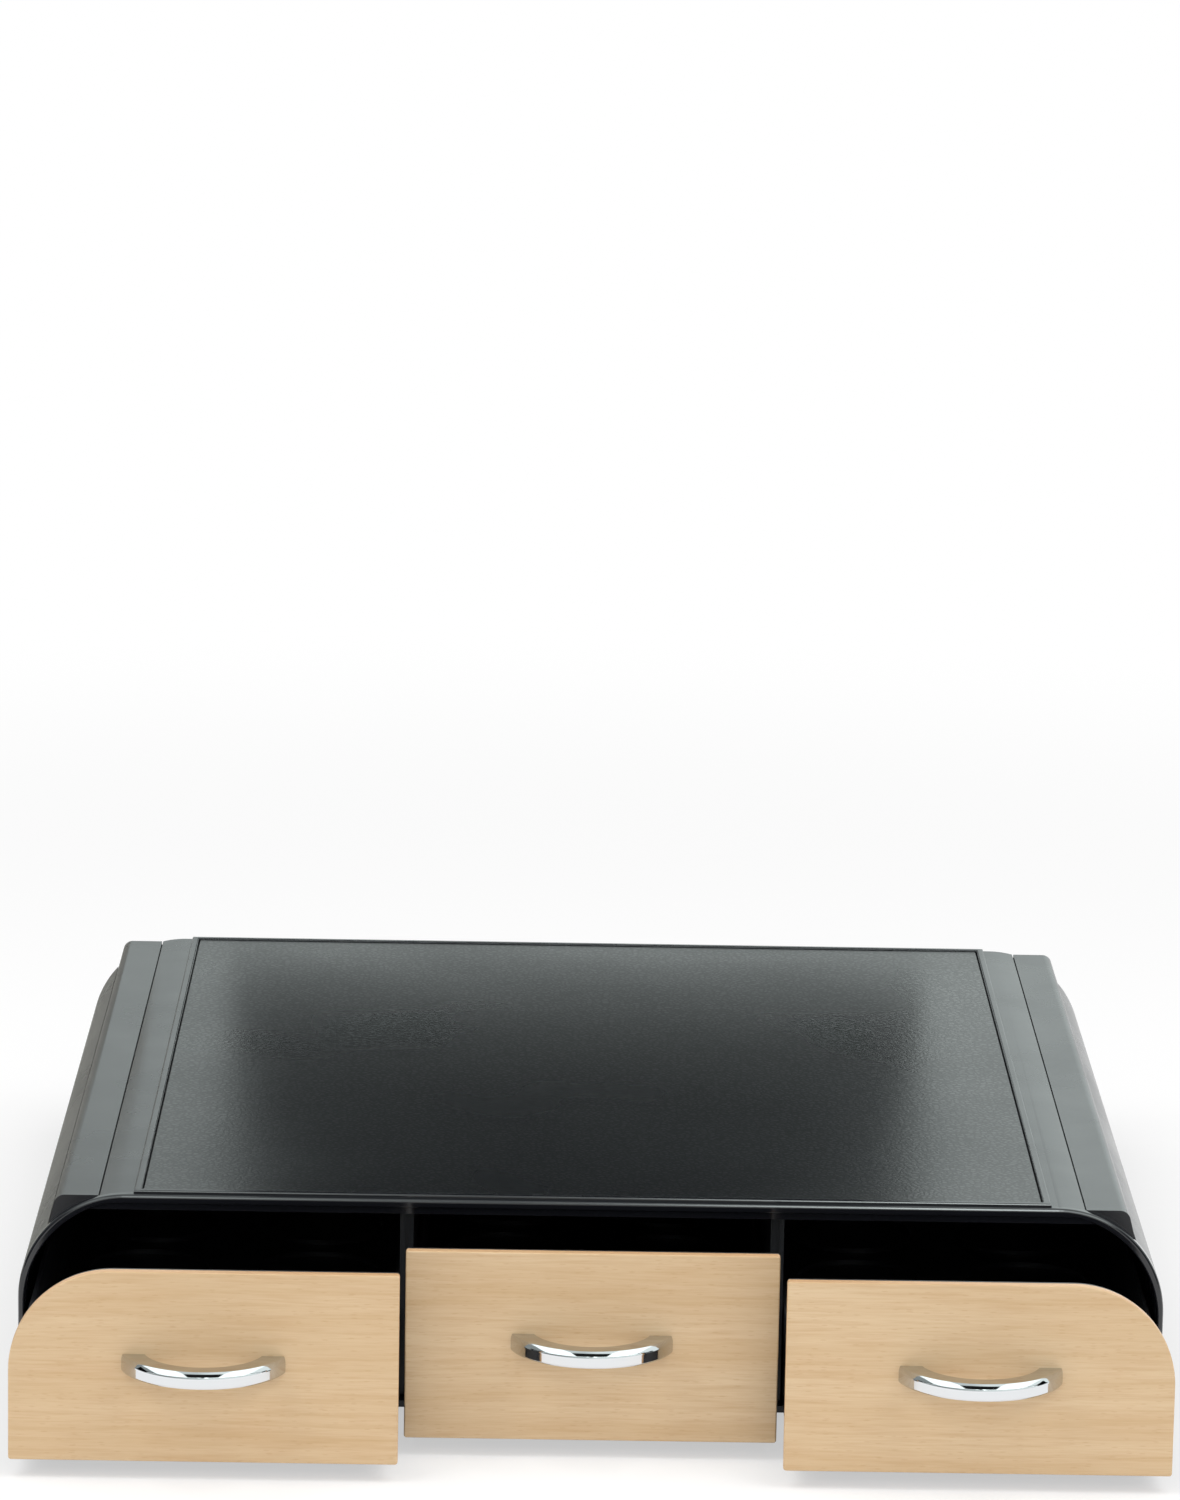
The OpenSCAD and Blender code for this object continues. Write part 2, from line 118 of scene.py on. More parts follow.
# The camera sees the paper lighter than it is, so that the shadow stays soft, and reflections see
# it as bright as overexposed paper. Away from the unit it fades to plain white.
paper_half, fade_from, fade_to = 12, 0.45, 1.1
camera_glow, mirror_glow = 0.53, 0.36
paper, tree = new_material("seamless paper")
place = add(tree, "TexCoord")
path = add(tree, "LightPath")
spread = add(tree, "VectorMath", {"operation": "LENGTH"}, Vector=place.outputs["Object"])
fade = add(tree, "MapRange", {"interpolation_type": "SMOOTHSTEP", 1: fade_from, 2: fade_to},
           _0=spread.outputs["Value"])
shade = add(tree, "Mix", {"data_type": "RGBA", 6: colour("#f4f4f4"), 7: colour("#b6b6b6")},
            _0=path.outputs["Is Camera Ray"])
mirrored = add(tree, "Math", {"operation": "MULTIPLY", 1: mirror_glow},
               _0=path.outputs["Is Glossy Ray"])
glow = add(tree, "Math", {"operation": "MULTIPLY_ADD", 1: camera_glow},
           _0=path.outputs["Is Camera Ray"], _2=mirrored.outputs[0])
matt = add(tree, "BsdfDiffuse", (), Color=shade.outputs[2])
bright = add(tree, "Emission", {"Color": (1, 1, 1, 1)}, Strength=glow.outputs[0])
close_by = add(tree, "AddShader", (), _0=matt.outputs[0], _1=bright.outputs[0])
far_off = add(tree, "Emission", {"Color": (1, 1, 1, 1)})
both = add(tree, "MixShader", (), Fac=fade.outputs[0], _1=close_by.outputs[0],
           _2=far_off.outputs[0])
add(tree, "OutputMaterial", (), Surface=both.outputs[0])
plane("floor", (-paper_half, paper_half), (-paper_half, paper_half), (0, 0), paper)


def card_cover(name, tint):
    """Plain matt material of a card."""
    made, tree = new_material(name)
    cover = add(tree, "BsdfDiffuse", {"Color": colour(tint)})
    add(tree, "OutputMaterial", (), Surface=cover.outputs[0])
    return made


# Only gloss sees the cards. The flag behind the unit keeps the middle of the deck deep, the black
# cards beside it darken the ends of the handles, and the grey ones the left of the housing.
black_felt = card_cover("black felt", "#0b0b0c")
standing_grey = card_cover("standing grey card", "#b4b4ad")
lying_grey = card_cover("lying grey card", "#b6b6af")
for name, cover, x, y, z in (
        ("flag", black_felt, (-0.126, 0.12), (0.24, 0.24), (0.102, 0.9)),
        ("card", black_felt, (-0.33, -0.33), (-0.27, -0.2), (0.045, 0.15)),
        ("card", black_felt, (0.33, 0.33), (-0.27, -0.2), (0.045, 0.15)),
        ("standing grey card", standing_grey, (-0.62, -0.19), (0.35, 0.35), (0.001, 0.17)),
        ("lying grey card", lying_grey, (-0.62, -0.19), (-0.06, 0.35), (0.001, 0.001))):
    card = plane(name, x, y, z, cover)
    card.visible_camera = card.visible_diffuse = card.visible_shadow = False

# The world by direction. For each step up, u is how far it leans to either side, and v how far
# back. The strip lamp isn't sampled as a light: only a mirror finds it.
plain_level, gap_level, panel_level, slit_level = 0.55, 0.02, 2.0, 0.1
strip_right, strip_left = 13.0, 6.0
world = bpy.data.worlds.new("studio")
bpy.context.scene.world = world
world.use_nodes = True
world.cycles.sampling_method = "NONE"
tree = world.node_tree
tree.nodes.clear()
place = add(tree, "TexCoord")
path = add(tree, "LightPath")
way = add(tree, "SeparateXYZ", (), Vector=place.outputs["Generated"])
across = add(tree, "Math", {"operation": "ABSOLUTE"}, _0=way.outputs["X"])
u = add(tree, "Math", {"operation": "DIVIDE"}, _0=across.outputs[0], _1=way.outputs["Z"])
v = add(tree, "Math", {"operation": "DIVIDE"}, _0=way.outputs["Y"], _1=way.outputs["Z"])
# White walls, lighter on the right and greyer towards the far left
walls = add(tree, "MapRange", {1: -0.09, 2: 0.09, 3: 0.93, 4: 1.27}, _0=way.outputs["X"])
left_end = add(tree, "MapRange", {1: -0.8, 2: -0.25, 3: 0.42, 4: 1.0}, _0=way.outputs["X"])
room = add(tree, "Math", {"operation": "MULTIPLY"}, _0=walls.outputs[0], _1=left_end.outputs[0])
# The dark gap over the front
overhead = add(tree, "MapRange", {1: -0.72, 2: -0.68}, _0=v.outputs[0])
forward_of = add(tree, "MapRange", {1: -0.26, 2: -0.3}, _0=v.outputs[0])
gap = add(tree, "Math", {"operation": "MULTIPLY"}, _0=overhead.outputs[0],
          _1=forward_of.outputs[0])
with_gap = add(tree, "Mix", {"data_type": "FLOAT", 3: gap_level}, _0=gap.outputs[0],
               _2=room.outputs[0])
# The ceiling panels, one on either side of it
outward = add(tree, "MapRange", {1: 0.31, 2: 0.34}, _0=u.outputs[0])
panel_end = add(tree, "MapRange", {1: 1.3, 2: 1.2}, _0=u.outputs[0])
panel_back = add(tree, "MapRange", {1: 0.4, 2: 0.3}, _0=v.outputs[0])
panel_u = add(tree, "Math", {"operation": "MULTIPLY"}, _0=outward.outputs[0],
              _1=panel_end.outputs[0])
panel_v = add(tree, "Math", {"operation": "MULTIPLY"}, _0=overhead.outputs[0],
              _1=panel_back.outputs[0])
panels = add(tree, "Math", {"operation": "MULTIPLY"}, _0=panel_u.outputs[0],
             _1=panel_v.outputs[0])
with_panels = add(tree, "Mix", {"data_type": "FLOAT", 3: panel_level}, _0=panels.outputs[0],
                  _2=with_gap.outputs[0])
# The strip lamp, brightest on the right and plain in the middle, and the slit below it
strip_top = add(tree, "MapRange", {1: -0.70, 2: -0.73}, _0=v.outputs[0])
strip_foot = add(tree, "MapRange", {1: -0.92, 2: -0.87}, _0=v.outputs[0])
strip = add(tree, "Math", {"operation": "MULTIPLY"}, _0=strip_top.outputs[0],
            _1=strip_foot.outputs[0])
right_glow = add(tree, "MapRange", {1: 0.012, 2: 0.055, 4: strip_right}, _0=way.outputs["X"])
left_glow = add(tree, "MapRange", {1: -0.018, 2: -0.065, 4: strip_left}, _0=way.outputs["X"])
glows = add(tree, "Math", {"operation": "ADD"}, _0=right_glow.outputs[0], _1=left_glow.outputs[0])
strip_end = add(tree, "MapRange", {1: 0.07, 2: 0.12, 3: 1.0, 4: 0.3}, _0=across.outputs[0])
strip_level = add(tree, "Math", {"operation": "MULTIPLY_ADD", 2: 1.0}, _0=glows.outputs[0],
                  _1=strip_end.outputs[0])
slit_top = add(tree, "MapRange", {1: -0.94, 2: -0.97}, _0=v.outputs[0])
slit_foot = add(tree, "MapRange", {1: -1.4, 2: -1.35}, _0=v.outputs[0])
slit = add(tree, "Math", {"operation": "MULTIPLY"}, _0=slit_top.outputs[0],
           _1=slit_foot.outputs[0])
with_slit = add(tree, "Mix", {"data_type": "FLOAT", 3: slit_level}, _0=slit.outputs[0],
                _2=with_panels.outputs[0])
gloss_view = add(tree, "Mix", {"data_type": "FLOAT"}, _0=strip.outputs[0],
                 _2=with_slit.outputs[0], _3=strip_level.outputs[0])
# Matt surfaces get plain light, gloss sees the map in a faintly cool white, the camera white
seen = add(tree, "Mix", {"data_type": "FLOAT", 2: plain_level}, _0=path.outputs["Is Glossy Ray"],
           _3=gloss_view.outputs[0])
level = add(tree, "Mix", {"data_type": "FLOAT", 3: 1.0}, _0=path.outputs["Is Camera Ray"],
            _2=seen.outputs[0])
tint = add(tree, "Mix", {"data_type": "RGBA", 6: (1, 1, 1, 1), 7: colour("#f5fffd")},
           _0=path.outputs["Is Glossy Ray"])
sky = add(tree, "Background", (), Color=tint.outputs[2], Strength=level.outputs[0])
add(tree, "OutputWorld", (), Surface=sky.outputs[0])


def softbox(name, at, target, size, power):
    """Large area lamp that faces a point. Reflections see the world's panels in its place."""
    light = bpy.data.lights.new(name, "AREA")
    light.shape = "RECTANGLE"
    light.size, light.size_y = size
    light.energy = power
    made = bpy.data.objects.new(name, light)
    made.location = at
    made.rotation_euler = (Vector(target) - Vector(at)).to_track_quat("-Z", "Y").to_euler()
    made.visible_glossy = False
    bpy.context.scene.collection.objects.link(made)


softbox("softbox left", (-0.85, -0.55, 1.5), (0, -0.1, 0), (0.9, 1.4), 11)
softbox("softbox right", (0.85, -0.55, 1.5), (0, -0.1, 0), (0.9, 1.4), 11)
softbox("softbox front", (0.0, -2.4, 1.3), (0, -0.1, 0.03), (1.6, 0.8), 8)


# ---- Housing shell ----
# Arch of moulded black ABS: a flat deck, two rounded corners and side walls. Its front is a thin
# rounded lip with a beam set back behind it. The corners have seats for the shoulders, and a raised
# rib on the deck frames the pocket for the grained panel.
MM = 0.001


def moulded(name, tint, rough, grain_mm, depth_mm, polished_to=None):
    """Moulded plastic or rubber. A spark-eroded texture gives the eye a satin skin, and slow clouds
    of tone and gloss keep it from looking painted. What stands in front of polished_to is polished
    and shines. The grain is 0.5 mm wide or more, because a real one is too fine to show."""
    cloud_mm, lighter, strength, polish = 45, 1.3, 0.5, 0.35
    made, tree = new_material(name)
    place = add(tree, "TexCoord")
    cloud = add(tree, "TexNoise", {"Scale": 1000 / cloud_mm, "Detail": 4, "Roughness": 0.6},
                Vector=place.outputs["Object"])
    tone = add(tree, "Mix", {"data_type": "RGBA", 6: colour(tint),
                             7: [c * lighter for c in colour(tint)]}, _0=cloud.outputs["Fac"])
    fine = add(tree, "TexNoise", {"Scale": 1000 / grain_mm, "Detail": 2},
               Vector=place.outputs["Object"])
    gloss = add(tree, "MapRange", {1: 0.3, 2: 0.7, 3: rough - 0.03, 4: rough + 0.04},
                _0=cloud.outputs["Fac"])
    bump = add(tree, "Bump", {"Strength": strength, "Distance": depth_mm * MM},
               Height=fine.outputs["Fac"])
    if polished_to is not None:
        depth = add(tree, "SeparateXYZ", (), Vector=place.outputs["Object"])
        satin = add(tree, "MapRange", {1: polished_to * MM, 2: (polished_to + 0.1) * MM,
                                       3: polish, 4: 1.0}, _0=depth.outputs["Y"])
        gloss = add(tree, "Math", {"operation": "MULTIPLY"}, _0=gloss.outputs[0],
                    _1=satin.outputs[0])
        texture = add(tree, "Math", {"operation": "MULTIPLY", 1: strength}, _0=satin.outputs[0])
        tree.links.new(texture.outputs[0], bump.inputs["Strength"])
    skin = add(tree, "BsdfPrincipled", {"IOR": 1.53}, Base_Color=tone.outputs[2],
               Roughness=gloss.outputs[0], Normal=bump.outputs[0])
    add(tree, "OutputMaterial", (), Surface=skin.outputs[0])
    return made


def grow(bm, cap, distance, keep=False):
    """Extrudes a cap of faces towards the back and returns the new cap."""
    made = bmesh.ops.extrude_face_region(bm, geom=cap)["geom"]
    if not keep:
        bmesh.ops.delete(bm, geom=[f for f in cap if f.is_valid], context="FACES_ONLY")
    moved = [v for v in made if isinstance(v, bmesh.types.BMVert)]
    bmesh.ops.translate(bm, verts=moved, vec=(0, distance, 0))
    return [f for f in made if isinstance(f, bmesh.types.BMFace)]


def cut(bm, faces, axis, places):
    """Cuts faces along planes that stand across X, Y or Z."""
    normal = Vector([axis == a for a in "xyz"])
    for at in places:
        edges = {e for f in faces for e in f.edges}
        verts = {v for f in faces for v in f.verts}
        made = bmesh.ops.bisect_plane(bm, geom=list(set(faces) | edges | verts),
                                      plane_co=normal * at, plane_no=normal, dist=1e-5)
        faces = [g for g in made["geom"] if isinstance(g, bmesh.types.BMFace)]


def move_patch(bm, faces, rise):
    """Raises or sinks a patch of level faces, with upright walls round it. Returns its corners."""
    made = bmesh.ops.extrude_face_region(bm, geom=faces)["geom"]
    bmesh.ops.delete(bm, geom=[f for f in faces if f.is_valid], context="FACES_ONLY")
    moved = [v for v in made if isinstance(v, bmesh.types.BMVert)]
    bmesh.ops.translate(bm, verts=moved, vec=(0, 0, rise))
    return moved


def ease(bm, edges, width, segments=3):
    """Rounds edges."""
    bmesh.ops.bevel(bm, geom=list(edges), offset=width, offset_type="OFFSET", segments=segments,
                    profile=0.5, affect="EDGES", clamp_overlap=True, material=-1)


def round_corners(bm, corners, radius, segments):
    """Rounds the corners of a flat outline."""
    bmesh.ops.bevel(bm, geom=list(corners), offset=radius, offset_type="OFFSET",
                    segments=segments, profile=0.5, affect="VERTICES", clamp_overlap=False,
                    material=-1)


def same(a, b):
    """True if two lengths are alike to 0.002 mm."""
    return abs(a - b) < 2e-3


def sharp(bm, angle=40):
    """Edges whose faces meet at more than an angle in degrees."""
    return [e for e in bm.edges if e.calc_face_angle(0) > math.radians(angle)]


def along(edge, **levels):
    """True if both ends of an edge lie at the given x, y or z."""
    return all(same(getattr(v.co, axis), level)
               for axis, level in levels.items() for v in edge.verts)


def finish(name, bm, material, body, slot, *nodes):
    """Makes a mesh drawn in millimetres a finished piece that rides on a body."""
    bmesh.ops.remove_doubles(bm, verts=bm.verts, dist=1e-4)
    bmesh.ops.recalc_face_normals(bm, faces=bm.faces)
    bmesh.ops.scale(bm, verts=bm.verts, vec=(MM, MM, MM))
    mesh = bpy.data.meshes.new(name)
    bm.to_mesh(mesh)
    bm.free()
    mesh.shade_smooth()
    mesh.set_sharp_from_angle(angle=math.radians(40))
    mesh.materials.append(material)
    made = bpy.data.objects.new(name, mesh)
    bpy.context.scene.collection.objects.link(made)
    flat = made.modifiers.new("flat faces stay flat", "WEIGHTED_NORMAL")
    flat.keep_sharp = True
    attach(made, body)
    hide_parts(*nodes)
    return made


half_w, corner_r, side_wall = 170, 32, 1.8
front_y, back_y = -163.5, 163.5
base_top, deck_z, deck_under, beam_under = 5, 67, 64.4, 62.4
seam_x, shoulder_end_x, seat_depth, setback = 146, 161.4, 1, 3.2
lip_depth, beam_depth, polish_depth = 0.8, 5, 2.8
lip_round, lip_inside_round, beam_round, rib_round, seat_round = 1.1, 0.45, 0.5, 0.6, 0.2
frame_x, frame_y, frame_rib, frame_rise, pocket = 135.9, (-161.5, 163.0), 2.4, 1, 0.7
stop_y, stop_from_middle, stop_half = (-108.5, -105.5), 20, 6
side_drawer_x = 111.7
arc_x, arc_z = half_w - corner_r, deck_z - corner_r
inner_x = half_w - side_wall
room_x, room_z = inner_x - corner_r, deck_z - side_wall - corner_r


def roof_x(z):
    """Distance from the middle at which the room's rounded corner reaches a height."""
    return room_x + math.sqrt(corner_r ** 2 - (z - room_z) ** 2)


def off_corner(v):
    """Distance of a vertex from the axis of the arch's outer corner."""
    return math.hypot(max(abs(v.co.x) - arc_x, 0), max(v.co.z - arc_z, 0))


# Front view of the right half, then of the whole arch
bm = bmesh.new()
start = math.asin((roof_x(deck_under) - room_x) / corner_r)
first = bm.verts.new((roof_x(deck_under), front_y, deck_under))
bmesh.ops.spin(bm, geom=[first], cent=(room_x, front_y, room_z), axis=(0, 1, 0),
               angle=math.pi / 2 - start, steps=30)
corner = sorted(bm.verts, key=lambda v: -v.co.x)
ring = [bm.verts.new((x, front_y, z)) for x, z in (
    (0, deck_under), (0, deck_z), (half_w, deck_z), (half_w, base_top), (inner_x, base_top))]
bm.faces.new(ring + corner)
round_corners(bm, [ring[2]], corner_r, 36)
bmesh.ops.mirror(bm, geom=bm.verts[:] + bm.edges[:] + bm.faces[:], matrix=Matrix(),
                 merge_dist=1e-3, axis="X")
# Cuts where the sides of the seats, which lean by a hair, and the ends of the beam will be
lean = 0.05
seams = seam_x, seam_x + lean, roof_x(beam_under), shoulder_end_x - lean, shoulder_end_x
cut(bm, bm.faces[:], "x", [side * x for x in seams for side in (-1, 1)])

# From the lip back: the beam, the shoulders' seats, and the open room behind the beam. A cap that
# grows by nothing and has some of its corners moved makes the face of a step.
cap = grow(bm, bm.faces[:], lip_depth, keep=True)
cap = grow(bm, cap, 0)
for v in {v for f in cap for v in f.verts}:
    if off_corner(v) < corner_r - seat_depth - 0.4:
        v.co.z = min(v.co.z, beam_under)
cap = grow(bm, cap, setback - lip_depth)
cap = grow(bm, cap, 0)
for v in {v for f in cap for v in f.verts}:
    x = abs(v.co.x)
    if seam_x + lean / 2 < x < shoulder_end_x - lean / 2 and off_corner(v) > corner_r - 0.5:
        v.co.z = arc_z + math.sqrt((corner_r - seat_depth) ** 2 - (x - arc_x) ** 2)
cap = grow(bm, cap, beam_depth - setback)
cap = grow(bm, cap, 0)
for v in {v for f in cap for v in f.verts}:
    x = abs(v.co.x)
    if same(v.co.z, beam_under) and x < roof_x(beam_under) - 0.01:
        v.co.z = min(deck_under, room_z + math.sqrt(corner_r ** 2 - max(x - room_x, 0) ** 2))
grow(bm, cap, back_y - front_y - beam_depth)
bmesh.ops.remove_doubles(bm, verts=bm.verts, dist=1e-4)
bmesh.ops.recalc_face_normals(bm, faces=bm.faces)
bmesh.ops.dissolve_limit(bm, angle_limit=math.radians(0.5), verts=bm.verts, edges=bm.edges)
bm.normal_update()


def lip_edges():
    """Sharp edges of the lip's front, apart from those at the feet of the side walls."""
    return [e for e in sharp(bm) if along(e, y=front_y)
            and max(v.co.z for v in e.verts) > base_top + 0.1]


ease(bm, [e for e in lip_edges() if all(off_corner(v) > corner_r - 0.1 for v in e.verts)],
     lip_round, 4)
ease(bm, [e for e in lip_edges() if all(off_corner(v) < corner_r - 1 for v in e.verts)],
     lip_inside_round)
ease(bm, [e for e in sharp(bm) if along(e, y=front_y + lip_depth, z=beam_under)], beam_round)


def level_faces(bm, z, x0, x1, y0, y1):
    """Level faces at one height whose middles lie in a rectangle."""
    found = [f for f in bm.faces if all(same(v.co.z, z) for v in f.verts)]
    middles = {f: f.calc_center_bounds() for f in found}
    return [f for f in found if x0 < middles[f].x < x1 and y0 < middles[f].y < y1]


# The deck's rib and pocket, and the stop ribs under the deck
inside_x, inside_y = frame_x - frame_rib, (frame_y[0] + frame_rib, frame_y[1] - frame_rib)
for axis, places in (("x", (-frame_x, -inside_x, inside_x, frame_x)),
                     ("y", (frame_y[0], *inside_y, frame_y[1]))):
    cut(bm, level_faces(bm, deck_z, -seam_x, seam_x, front_y, back_y), axis, places)
move_patch(bm, level_faces(bm, deck_z, -frame_x, frame_x, *frame_y), frame_rise)
move_patch(bm, level_faces(bm, deck_z + frame_rise, -inside_x, inside_x, *inside_y),
           -frame_rise - pocket)
stops = [middle + side * stop_from_middle
         for middle in (-side_drawer_x, 0, side_drawer_x) for side in (-1, 1)]
stop_sides = [x + edge * stop_half for x in stops for edge in (-1, 1)]
for axis, places in (("x", stop_sides), ("y", stop_y)):
    cut(bm, level_faces(bm, deck_under, -room_x, room_x, front_y, back_y), axis, places)
for x in stops:
    move_patch(bm, level_faces(bm, deck_under, x - stop_half, x + stop_half, *stop_y),
               beam_under - deck_under)

bm.normal_update()
ease(bm, [e for e in sharp(bm) if along(e, z=deck_z + frame_rise)], rib_round, 4)
ease(bm, [e for e in sharp(bm) for x in (seam_x, shoulder_end_x)
          if all(same(abs(v.co.x), x) and off_corner(v) > corner_r - 0.1 for v in e.verts)],
     seat_round, 2)
housing_black = moulded("ABS, moulded black", "#15161a", 0.26, 0.5, 0.006, front_y + polish_depth)
shell = finish("housing_shell_piece", bm, housing_black, "housing", "housing_black",
               "housing_shell")
# One narrow facet of each rounded front edge stays flat and catches the strip lamp
facet_tilt = math.radians(56.25)
for face in shell.data.polygons:
    if abs(face.normal.y + math.sin(facet_tilt)) < 0.01:
        face.use_smooth = False


# ---- Shoulders ----
# Two long bars of the same ABS that square off the arch's corners. Each lies in a seat along
# the corner and leaves a fine seam beside the deck.
seam_gap, shoulder_top, shoulder_foot = 0.4, 65.98, (161.2, 56.68)
shoulder_corner_x, shoulder_r, seat_r = 158.9, 2.4, corner_r - seat_depth + 0.05
shoulder_round = 0.3
for side, name in ((-1, "left"), (1, "right")):
    bm = bmesh.new()
    start = math.asin((seam_x + seam_gap - arc_x) / seat_r)
    turn = math.asin((shoulder_foot[0] - arc_x) / seat_r) - start
    y = front_y + setback
    first = bm.verts.new((arc_x + seat_r * math.sin(start), y, arc_z + seat_r * math.cos(start)))
    bmesh.ops.spin(bm, geom=[first], cent=(arc_x, y, arc_z), axis=(0, 1, 0), angle=turn, steps=14)
    underside = sorted(bm.verts, key=lambda v: v.co.x)
    side_foot = bm.verts.new((shoulder_foot[0], y, shoulder_foot[1]))
    outer_top = bm.verts.new((shoulder_corner_x, y, shoulder_top))
    inner_top = bm.verts.new((seam_x + seam_gap, y, shoulder_top))
    bm.faces.new(underside + [side_foot, outer_top, inner_top])
    round_corners(bm, [outer_top], shoulder_r, 10)
    grow(bm, bm.faces[:], back_y - y, keep=True)
    bmesh.ops.scale(bm, verts=bm.verts, vec=(side, 1, 1))
    bmesh.ops.recalc_face_normals(bm, faces=bm.faces)
    ends = [e for e in sharp(bm) if same(*(v.co.y for v in e.verts))
            and max(v.co.z for v in e.verts) > shoulder_foot[1] + 0.1]
    seam = [e for e in bm.edges if along(e, z=shoulder_top)
            and all(same(abs(v.co.x), seam_x + seam_gap) for v in e.verts)]
    ease(bm, set(ends + seam), shoulder_round)
    finish("shoulder_" + name + "_piece", bm, housing_black, "housing", "housing_black",
           "shoulder_" + name)


# ---- Grained deck panel ----
# Non-slip panel that lies in the deck's frame: black PVC on a stiff sheet, embossed with a
# leather grain.
def embossed_pvc():
    """Glossy pebbles between dull grooves break the panel's gloss into small glints. They are drawn
    1.8 mm wide, because real ones of about 1 mm are too fine to show."""
    pebble_mm, wander_mm, drift_mm, worn_mm, dome_mm = 1.8, 4, 1.3, 80, 0.09
    groove_gloss = 0.78
    made, tree = new_material("PVC, leather grain")
    place = add(tree, "TexCoord")
    wander = add(tree, "TexNoise", {"Scale": 1000 / wander_mm, "Detail": 2},
                 Vector=place.outputs["Object"])
    drift = add(tree, "VectorMath", {"operation": "MULTIPLY_ADD", 1: [drift_mm * MM] * 3},
                _0=wander.outputs["Color"], _2=place.outputs["Object"])
    pebbles = add(tree, "TexVoronoi", {"feature": "DISTANCE_TO_EDGE", "Scale": 1000 / pebble_mm},
                  Vector=drift.outputs[0])
    domes = add(tree, "MapRange", {"interpolation_type": "SMOOTHSTEP", 1: 0.0, 2: 0.32},
                _0=pebbles.outputs["Distance"])
    bump = add(tree, "Bump", {"Strength": 0.18, "Distance": dome_mm * MM}, Height=domes.outputs[0])
    worn = add(tree, "TexNoise", {"Scale": 1000 / worn_mm, "Detail": 2},
               Vector=place.outputs["Object"])
    gloss = add(tree, "MapRange", {1: 0.3, 2: 0.7, 3: 0.26, 4: 0.31}, _0=worn.outputs["Fac"])
    tone = add(tree, "Mix", {"data_type": "RGBA", 6: colour("#101113"), 7: colour("#151719")},
               _0=worn.outputs["Fac"])
    skin = add(tree, "BsdfPrincipled", {"IOR": 1.57}, Base_Color=tone.outputs[2],
               Roughness=gloss.outputs[0], Normal=bump.outputs[0])
    groove = add(tree, "BsdfDiffuse", (), Color=tone.outputs[2])
    clear = add(tree, "MapRange", {3: groove_gloss, 4: 1.0}, _0=domes.outputs[0])
    grained = add(tree, "MixShader", (), Fac=clear.outputs[0], _1=groove.outputs[0],
                  _2=skin.outputs[0])
    add(tree, "OutputMaterial", (), Surface=grained.outputs[0])
    return made


panel_gap, panel_t, panel_corner_r, panel_round = 0.3, 1.2, 1.0, 0.35
panel_x = inside_x - panel_gap
panel_y = inside_y[0] + panel_gap, inside_y[1] - panel_gap
panel_top = deck_z - pocket + panel_t
bm = bmesh.new()
bmesh.ops.create_cube(bm, size=1)
bmesh.ops.scale(bm, verts=bm.verts, vec=(2 * panel_x, panel_y[1] - panel_y[0], panel_t))
bmesh.ops.translate(bm, verts=bm.verts, vec=(0, sum(panel_y) / 2, panel_top - panel_t / 2))
ease(bm, [e for e in bm.edges if not same(*(v.co.z for v in e.verts))], panel_corner_r, 5)
ease(bm, [e for e in bm.edges if along(e, z=panel_top)], panel_round)
finish("deck_panel_piece", bm, embossed_pvc(), "housing", "grained_black", "deck_panel")


# ---- Base plate, rear panel and dividers ----
# Flat ABS mouldings that carry the deck and guide the trays, duller than the shell. Their CAD
# shape is right, so each is a copy of it with its sharp edges eased.
def eased_copy(node, material, body, slot, width, segments=2):
    """Piece with the CAD node's shape and rounded edges."""
    bm = bmesh.new()
    bm.from_mesh(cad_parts[node].data)
    bmesh.ops.scale(bm, verts=bm.verts, vec=(1 / MM, 1 / MM, 1 / MM))
    bmesh.ops.remove_doubles(bm, verts=bm.verts, dist=2e-3)
    bmesh.ops.dissolve_limit(bm, angle_limit=math.radians(1), verts=bm.verts, edges=bm.edges)
    bmesh.ops.recalc_face_normals(bm, faces=bm.faces)
    ease(bm, sharp(bm), width, segments)
    return finish(node + "_piece", bm, material, body, slot, node)


inside_black = moulded("ABS, plain black", "#1d1e21", 0.40, 0.6, 0.012)
for node in ("base_plate", "rear_panel", "divider_left", "divider_right"):
    eased_copy(node, inside_black, "housing", "housing_black", 0.2)


# ---- Feet ----
# Four feet of moulded black rubber, pressed into the base plate. The rubber is matt and takes
# hardly any reflection.
rubber = moulded("rubber, moulded", "#101011", 0.75, 0.9, 0.03)
for node in ("foot_front_left", "foot_front_right", "foot_rear_left", "foot_rear_right"):
    eased_copy(node, rubber, "housing", "foot_rubber", 0.5, 3)


# ---- Housing screws ----
# Zinc-plated steel. Countersunk screws hold the deck, the base and the rear panel to the dividers,
# driven by a cross recess.
def zinc_plate():
    """Blue-white zinc with small blooms of paler, duller metal, so a head reads as grey satin."""
    bloom_mm = 1.5
    made, tree = new_material("steel, zinc-plated")
    place = add(tree, "TexCoord")
    bloom = add(tree, "TexNoise", {"Scale": 1000 / bloom_mm, "Detail": 4},
                Vector=place.outputs["Object"])
    gloss = add(tree, "MapRange", {1: 0.3, 2: 0.7, 3: 0.22, 4: 0.42}, _0=bloom.outputs["Fac"])
    tone = add(tree, "Mix", {"data_type": "RGBA", 6: colour("#a9adb1"), 7: colour("#c3c6c4")},
               _0=bloom.outputs["Fac"])
    bump = add(tree, "Bump", {"Strength": 0.2, "Distance": 0.01 * MM}, Height=bloom.outputs["Fac"])
    skin = add(tree, "BsdfPrincipled", {"Metallic": 1.0}, Base_Color=tone.outputs[2],
               Roughness=gloss.outputs[0], Normal=bump.outputs[0])
    add(tree, "OutputMaterial", (), Surface=skin.outputs[0])
    return made


zinc = zinc_plate()
cross_w, cross_reach, cross_depth, cross_taper = 0.8, 1.3, 0.9, 0.55


